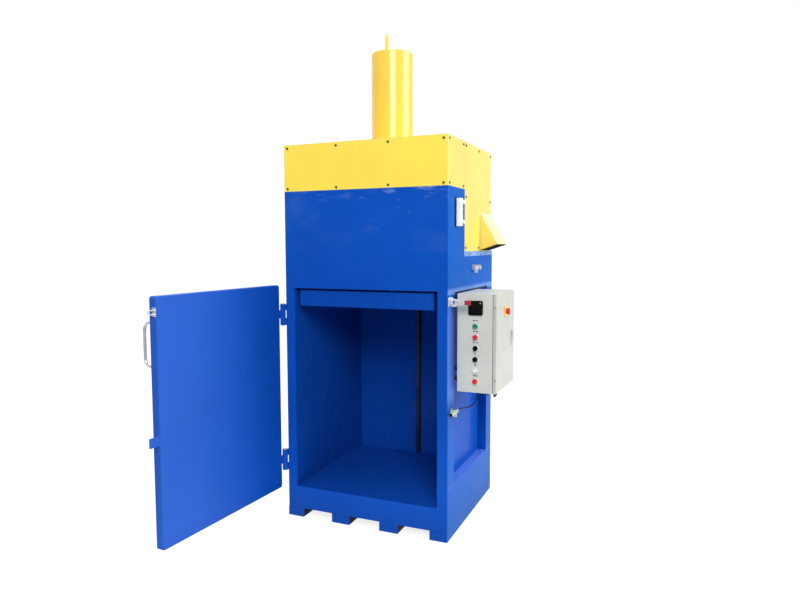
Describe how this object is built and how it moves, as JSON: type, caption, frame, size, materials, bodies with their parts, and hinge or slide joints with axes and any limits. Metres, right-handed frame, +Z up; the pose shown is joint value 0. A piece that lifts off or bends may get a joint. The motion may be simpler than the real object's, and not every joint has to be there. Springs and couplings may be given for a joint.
{
  "type": "recycling baler",
  "caption": "Vertical hydraulic drum press with a side-hinged chamber door, overhead ram, yellow power-pack covers and a side control box.",
  "frame": {"origin": "on the floor at the middle of the skid's footprint", "axes": "+Z up, -Y towards the loading door, +X towards the control box"},
  "size_m": [1.2428, 1.6709, 2.458],
  "materials": {
    "blue_enamel": "glossy enamel, lightly scuffed",
    "yellow_enamel": "glossy enamel",
    "grey_enamel": "fine satin powder coat",
    "black_paint": "satin",
    "motor_paint": "satin",
    "zinc_steel": "bright zinc plate",
    "worn_steel": "oily bare steel",
    "chrome_rod": "ground hard chrome",
    "chrome_trim": "polished",
    "alloy": "die cast",
    "brass": "machined",
    "black_plastic": "moulded",
    "red_plastic": "moulded",
    "green_plastic": "moulded",
    "white_plastic": "moulded",
    "yellow_plastic": "moulded",
    "sight_glass": "clear, oil behind",
    "cable_rubber": "matt sheath"
  },
  "bodies": {
    "frame": {"base_frame": "blue_enamel", "skid_runners": "blue_enamel", "front_frame": "blue_enamel", "columns": "blue_enamel", "side_panels": "blue_enamel", "back_panel": "blue_enamel", "crosshead": "blue_enamel", "oil_tank": "blue_enamel", "frame_knuckles": "blue_enamel", "cover_front": "yellow_enamel", "cover_left": "yellow_enamel", "cover_right": "yellow_enamel", "cover_rear": "yellow_enamel", "cover_top": "yellow_enamel", "vent_hood": "yellow_enamel", "cylinder_guard": "yellow_enamel", "top_breather": "yellow_enamel", "box_shell": "grey_enamel", "cover_frame": "black_paint", "valve_block": "black_paint", "motor": "motor_paint", "cylinder_barrel": "motor_paint", "cover_screws": "zinc_steel", "cylinder_bolts": "zinc_steel", "hinge_pins": "zinc_steel", "latch_base": "zinc_steel", "box_brackets": "zinc_steel", "hydraulic_pipes": "zinc_steel", "guide_rail": "worn_steel", "button_bezels": "chrome_trim", "pump_unit": "alloy", "level_gauge": "alloy", "filler_breather": "alloy", "drain_valve": "alloy", "door_sensor": "brass", "switch_plate": "black_plastic", "cable_glands": "black_plastic", "gauge_window": "sight_glass", "box_cables": "cable_rubber"},
    "door": {"door_panel": "blue_enamel", "door_handle": "chrome_trim", "door_catch": "chrome_trim", "door_knuckles": "blue_enamel"},
    "press_ram": {"platen": "blue_enamel", "piston_rod": "chrome_rod"},
    "latch_arm": {"latch_lever": "zinc_steel", "latch_grip": "red_plastic"},
    "latch_hoop": {"latch_loop": "zinc_steel"},
    "drain_handle": {"drain_lever": "zinc_steel"},
    "box_lid": {"box_door": "grey_enamel", "isolator_plate": "yellow_plastic"},
    "box_latch": {"box_lock": "alloy"},
    "isolator_handle": {"isolator_knob": "red_plastic"},
    "main_switch": {"switch_knob": "black_plastic"},
    "selector": {"mode_selector": "black_plastic"},
    "start_cap": {"start_button": "green_plastic"},
    "stop_cap": {"stop_button": "red_plastic"},
    "down_cap": {"down_button": "black_plastic"},
    "up_cap": {"up_button": "white_plastic"},
    "reset_cap": {"reset_button": "red_plastic"}
  },
  "joints": [
    {"name": "door_hinge", "type": "hinge", "parent": "frame", "child": "door", "pos_m": [-0.446, -0.393, 0.65], "axis": [0, 0, 1], "range_deg": [-70, 93.7]},
    {"name": "press_stroke", "type": "slide", "parent": "frame", "child": "press_ram", "axis": [0, 0, -1], "range_m": [0, 0.78]},
    {"name": "latch_pivot", "type": "hinge", "parent": "frame", "child": "latch_arm", "pos_m": [0.443, -0.372, 1.129], "axis": [0, 0, -1], "range_deg": [0, 60]},
    {"name": "latch_link", "type": "hinge", "parent": "latch_arm", "child": "latch_hoop", "pos_m": [0.44057, -0.35821, 1.129], "axis": [0, 0, 1], "range_deg": [-45, 30]},
    {"name": "drain_turn", "type": "hinge", "parent": "frame", "child": "drain_handle", "pos_m": [0.454, -0.01, 1.276], "axis": [0, -1, 0], "range_deg": [0, 90]},
    {"name": "box_door_hinge", "type": "hinge", "parent": "frame", "child": "box_lid", "pos_m": [0.6245, -0.304, 0.935], "axis": [0, 0, -1], "range_deg": [0, 105]},
    {"name": "box_lock_turn", "type": "hinge", "parent": "box_lid", "child": "box_latch", "pos_m": [0.635, -0.008, 0.922], "axis": [1, 0, 0], "range_deg": [0, 90]},
    {"name": "isolator_turn", "type": "hinge", "parent": "box_lid", "child": "isolator_handle", "pos_m": [0.635, -0.139, 1.074], "axis": [1, 0, 0], "range_deg": [0, 90]},
    {"name": "main_switch_turn", "type": "hinge", "parent": "frame", "child": "main_switch", "pos_m": [0.537, -0.319, 1.1], "axis": [0, 1, 0], "range_deg": [-60, 60]},
    {"name": "mode_turn", "type": "hinge", "parent": "frame", "child": "selector", "pos_m": [0.537, -0.317, 0.9142], "axis": [0, 1, 0], "range_deg": [-45, 45]},
    {"name": "reset_press", "type": "slide", "parent": "frame", "child": "reset_cap", "axis": [0, 1, 0], "range_m": [0, 0.004], "stiffness_N_per_m": 400, "springref_m": -0.002},
    {"name": "up_press", "type": "slide", "parent": "frame", "child": "up_cap", "axis": [0, 1, 0], "range_m": [0, 0.004], "stiffness_N_per_m": 400, "springref_m": -0.002},
    {"name": "down_press", "type": "slide", "parent": "frame", "child": "down_cap", "axis": [0, 1, 0], "range_m": [0, 0.004], "stiffness_N_per_m": 400, "springref_m": -0.002},
    {"name": "stop_press", "type": "slide", "parent": "frame", "child": "stop_cap", "axis": [0, 1, 0], "range_m": [0, 0.004], "stiffness_N_per_m": 400, "springref_m": -0.002},
    {"name": "start_press", "type": "slide", "parent": "frame", "child": "start_cap", "axis": [0, 1, 0], "range_m": [0, 0.004], "stiffness_N_per_m": 400, "springref_m": -0.002}
  ]
}
